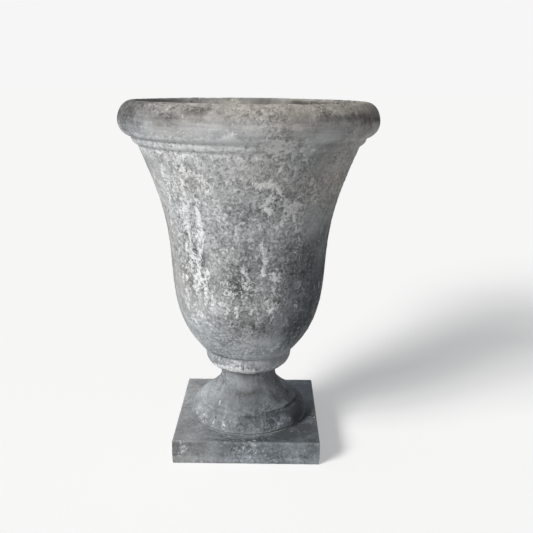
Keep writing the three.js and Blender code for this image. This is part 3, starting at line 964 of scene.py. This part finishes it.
def make_plinth(material):
    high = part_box("plinth")[1]
    half, top = high.x, high.z
    section = [
        (POCKET_RADIUS, 0),
        (half - PLINTH_FOOT_INSET, 0),
        (half, PLINTH_FOOT_HEIGHT),
        (half, top - PLINTH_ARRIS),
        (half - PLINTH_ARRIS, top),
        (BORE_RADIUS, top),
        (BORE_RADIUS, POCKET_DEPTH),
        (POCKET_RADIUS, POCKET_DEPTH),
    ]
    loop = curved(np.array(section), PLINTH_ROUNDING)
    hidden = loop[:, 0] < ROUND_BY
    loop = evenly(loop, np.where(hidden, INSIDE_SPACING, PLINTH_SPACING))
    square = squares(loop[:, 0], PLINTH_CORNER)
    length = np.linalg.norm(square, axis=2, keepdims=True)
    circle = square / length * loop[:, None, :1]
    share = smoothstep(loop[:, 0], POCKET_RADIUS + ROUND_MARGIN, ROUND_BY)[:, None, None]
    flat = circle + (square - circle) * share
    sides = flat.shape[1]
    points = np.concatenate([flat, np.repeat(loop[:, None, 1:], sides, axis=1)], axis=2)
    across = np.roll(points, -1, axis=1) - np.roll(points, 1, axis=1)
    along = np.roll(points, -1, axis=0) - np.roll(points, 1, axis=0)
    normals = np.cross(across, along)
    normals /= np.linalg.norm(normals, axis=2, keepdims=True)
    corner = np.zeros(sides)
    quarter = sides // 4
    for k in range(4):
        corner[k * quarter + PLINTH_EDGE_SIDES : (k + 1) * quarter] = 1
    upright = (normals[..., 2] < 0.5) & (normals[..., 2] > -0.5)
    edge = np.maximum(sharpness(loop)[:, None], corner * upright)
    edge = edge * (loop[:, 0] > ROUND_BY)[:, None]
    exposure = smoothstep(loop[:, 0], POCKET_RADIUS, POCKET_RADIUS + POCKET_RAMP)[:, None]
    exposure = exposure * np.where(points[..., 2] < GROUND_CLEAR, 0.0, PLINTH_WEAR)
    on_top = points[..., 2] > top - MM
    looks = {
        "tone": plinth_tone(points, on_top, edge),
        "warmth": 0.32 - 0.36 * smoothstep(points[..., 0], *RIGHT_SPAN),
        "lime_and_painted_light": 0.0,
        "crust": patches(points, PLINTH_CRUST),
        "brush": patches(points, PLINTH_BRUSH),
    }
    looks.update(seed=33, lime_level=0.06, groove=0.0, edge=edge, pits=1500, chips=60)
    points, values = weathered(points, normals, exposure, looks)
    plinth = grid_object("plinth_casting", points, material)
    store(plinth, **values)
    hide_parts("plinth")


MORTAR_SIDES = 420
MORTAR_EDGE_REACH = 6 * MM
MORTAR_RAGGED_REACH = 4 * MM


def make_mortar(node, name, material, setback, fillet, seed):
    """A mortar bed whose ragged edge is set back in places and struck to a low fillet in others."""
    low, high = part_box(node)
    loop = curved(outline_of(node), 0.35 * MM)
    edge = loop[:, 0].max()
    at_edge = loop[:, 0] > edge - MORTAR_EDGE_REACH
    loop = evenly(loop, np.where(at_edge, 0.5 * MM, 6 * MM))
    points, _ = turned_grid(loop, MORTAR_SIDES)
    ragged = clouds(points, 0.006, 3, seed) + 0.7 * clouds(points, 0.022, 2, seed + 1)
    near_edge = smoothstep(radius_of(points), edge - MORTAR_RAGGED_REACH, edge)
    lower = (high.z - points[..., 2]) / (high.z - low.z)
    grown = fillet * (0.3 + 0.7 * lower) - setback * (0.5 - 0.5 * ragged)
    points[..., :2] *= (1 + grown * near_edge / edge)[..., None]
    bed = grid_object(name, points, material)
    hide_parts(node)


# ---- The clamp's hardware ----

HARDWARE_SIDES = 144
THREAD_PITCH = 1.814 * MM
THREAD_DEPTH = 0.9 * MM
THREAD_LENGTH = 30 * MM
THREAD_RUNOUT = 4 * MM
THREAD_ROW = THREAD_PITCH / 10
THREAD_FLANKS = (0.08, 0.92)
THREAD_LEAD_IN = 1.2 * MM


def lined(points, rounding, spacing):
    """A small turned part's closed outline, its corners rounded, sampled at a spacing."""
    return evenly(curved(np.array(points), rounding), spacing)


def bore_radius(node):
    """The smallest radius of a node's mesh."""
    places = np.array([v.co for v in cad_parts[node].data.vertices])
    return float(radius_of(places).min())


def make_tube(material):
    low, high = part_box("tie_tube")
    radius = high.x
    bore = outline_of("tie_tube")[:, 0].min()
    lip, root = 0.5 * MM, radius - THREAD_DEPTH
    plain_rows, bore_rows = 30, 40
    threaded_to, threaded_from = low.z + THREAD_LENGTH, high.z - THREAD_LENGTH
    levels = np.concatenate(
        [
            np.arange(low.z, threaded_to, THREAD_ROW),
            np.linspace(threaded_to, threaded_from, plain_rows, endpoint=False),
            np.arange(threaded_from, high.z, THREAD_ROW),
        ]
    )
    outer = np.stack([np.full(len(levels), radius), levels], 1)
    inner = np.stack([np.full(bore_rows, bore), np.linspace(high.z, low.z, bore_rows)], 1)
    foot = [(bore + lip, low.z), (root, low.z)]
    head = [(root, high.z), (bore + lip, high.z)]
    loop = np.vstack([foot, outer, head, inner])
    points, _ = turned_grid(loop, HARDWARE_SIDES)
    level = points[..., 2]
    turn = around(HARDWARE_SIDES) / (2 * math.pi)
    phase = (level / THREAD_PITCH - turn[None, :]) % 1.0
    groove = smoothstep(1 - np.abs(2 * phase - 1), *THREAD_FLANKS)
    from_end = np.minimum(level - low.z, high.z - level)
    cut = 1 - smoothstep(from_end, THREAD_LENGTH - THREAD_RUNOUT, THREAD_LENGTH - THREAD_ROW)
    groove = 1 - (1 - groove) * smoothstep(from_end, 0.0, THREAD_LEAD_IN)
    is_outer = radius_of(points) > radius - 0.1 * MM
    sunk = THREAD_DEPTH * groove * cut * is_outer
    points[..., :2] *= (1 - sunk / radius)[..., None]
    tube = grid_object("threaded_tube", points, material)
    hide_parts("tie_tube")


NUT_SOFTNESS = 0.25 * MM
# Softening ends this many softnesses away from a flat, where it no longer does anything.
NUT_SOFT_REACH = 40


def make_nut(node, name, material):
    """A hexagon nut: a chamfered ring cut back to its six flats, its corners softened."""
    low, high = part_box(node)
    corner = high.x
    flat = corner * math.cos(math.pi / 6)
    bore = bore_radius(node)
    reach = corner + 0.2 * MM
    chamfer, ease, inset = 1.1 * MM, 0.6 * MM, 0.4 * MM
    section = [
        (bore + ease, low.z),
        (flat - inset, low.z),
        (reach, low.z + chamfer),
        (reach, high.z - chamfer),
        (flat - inset, high.z),
        (bore + ease, high.z),
        (bore, high.z - ease),
        (bore, low.z + ease),
    ]
    loop = lined(section, rounding=0.16 * MM, spacing=0.35 * MM)
    points, _ = turned_grid(loop, HARDWARE_SIDES)
    radius = radius_of(points)
    angle = around(HARDWARE_SIDES)
    hexagon = flat / np.cos((angle + math.pi / 6) % (math.pi / 3) - math.pi / 6)
    gap = (hexagon[None, :] - radius) / NUT_SOFTNESS
    gap = np.clip(gap, -NUT_SOFT_REACH, NUT_SOFT_REACH)
    limited = radius - NUT_SOFTNESS * np.log1p(np.exp(-gap))
    points[..., :2] *= (np.maximum(limited, bore) / radius)[..., None]
    nut = grid_object(name, points, material)
    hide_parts(node)


SEAL_WAVE_SIZE = 0.009
SEAL_WAVE_SEED = 15


def make_ring(node, name, material, rounding, dish=0.0):
    """A washer or seal with softened edges, its upper face pressed in here and there by dish."""
    low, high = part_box(node)
    bore = bore_radius(node)
    section = [(bore, low.z), (high.x, low.z), (high.x, high.z), (bore, high.z)]
    points, _ = turned_grid(lined(section, rounding, spacing=0.4 * MM), HARDWARE_SIDES)
    uneven = clouds(points, SEAL_WAVE_SIZE, 2, SEAL_WAVE_SEED)
    points[..., 2] -= dish * np.maximum(uneven, 0) * (points[..., 2] > (low.z + high.z) / 2)
    ring = grid_object(name, points, material)
    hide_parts(node)


PLUG_FLANGE_HEIGHT = 4 * MM
PLUG_FLANGE_RADIUS = 14 * MM
PLUG_BUNG_LENGTH = 18 * MM
PLUG_TAPER = 0.5 * MM
PLUG_BUNG_RADIUS = 9.3 * MM
PLUG_SIDES = 96
# The plug's rings close round a core this thin.
PLUG_CORE = 0.4 * MM
TAB_WIDTH = 15 * MM
TAB_THICKNESS = 4.2 * MM
TAB_SINK = 1 * MM
TAB_ROUNDING = 0.9 * MM


def tab_mesh(foot, summit):
    """The plug's pull tab: an upright plate with a round head and rounded edges."""
    half = TAB_WIDTH / 2
    centre = summit - half
    profile = [(-half, foot), (half, foot)]
    for a in np.linspace(0, math.pi, 33):
        profile.append((half * math.cos(a), centre + half * math.sin(a)))
    tab = bmesh.new()
    front = [tab.verts.new((x, -TAB_THICKNESS / 2, z)) for x, z in profile]
    face = tab.faces.new(front)
    made = bmesh.ops.extrude_face_region(tab, geom=[face])
    back = [item for item in made["geom"] if isinstance(item, bmesh.types.BMVert)]
    bmesh.ops.translate(tab, verts=back, vec=(0, TAB_THICKNESS, 0))
    bmesh.ops.recalc_face_normals(tab, faces=tab.faces)
    rims = [edge for edge in tab.edges if abs(edge.verts[0].co.y - edge.verts[1].co.y) < WELD]
    shape = {"offset": TAB_ROUNDING, "segments": 4, "profile": 0.5, "affect": "EDGES"}
    bmesh.ops.bevel(tab, geom=rims, **shape)
    mesh = bpy.data.meshes.new("tab")
    tab.to_mesh(mesh)
    tab.free()
    return mesh


def make_plug(material):
    """A tapered bung under a flange, with the pull tab joined on."""
    low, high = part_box("drain_plug")
    seat = low.z + PLUG_BUNG_LENGTH
    top = seat + PLUG_FLANGE_HEIGHT
    section = [
        (PLUG_CORE, low.z),
        (PLUG_BUNG_RADIUS - PLUG_TAPER, low.z),
        (PLUG_BUNG_RADIUS, seat),
        (PLUG_FLANGE_RADIUS, seat),
        (PLUG_FLANGE_RADIUS, top),
        (PLUG_CORE, top),
    ]
    loop = lined(section, rounding=0.5 * MM, spacing=0.5 * MM)
    loop[:, 0] = np.maximum(loop[:, 0], PLUG_CORE)
    points, _ = turned_grid(loop, PLUG_SIDES)
    plug = grid_object("drain_plug_rubber", points, material, body="plug")
    helper = placed("tab", tab_mesh(top - TAB_SINK, high.z))
    union = plug.modifiers.new("union", "BOOLEAN")
    union.operation = "UNION"
    union.solver = "EXACT"
    union.object = helper
    graph = bpy.context.evaluated_depsgraph_get()
    joined = bpy.data.meshes.new_from_object(plug.evaluated_get(graph))
    plug.modifiers.clear()
    plug.data = joined
    bpy.data.objects.remove(helper)
    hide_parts("drain_plug")


# ---- The scene ----

bpy.context.scene.view_settings.view_transform = "Standard"
make_camera()
make_suns()
make_world()
make_floor()

stone = stone_material("weathered_cast_stone")
make_bowl(stone)
make_stem(stone)
make_plinth(stone)
mortar = mortar_material()
make_mortar("foot_mortar", "foot_mortar_bed", mortar, 1.4 * MM, 3.2 * MM, 41)
make_mortar("neck_mortar", "neck_mortar_bed", mortar, 1.8 * MM, 0, 47)
brass = brass_material()
make_tube(brass)
make_nut("top_nut", "top_hexagon_nut", brass)
make_nut("bottom_nut", "bottom_hexagon_nut", brass)
zinc = zinc_material()
make_ring("top_washer", "top_plain_washer", zinc, 0.3 * MM)
make_ring("bottom_washer", "bottom_plain_washer", zinc, 0.3 * MM)
rubber = rubber_material()
make_ring("top_seal", "top_rubber_seal", rubber, 0.7 * MM, dish=0.2 * MM)
make_plug(rubber)
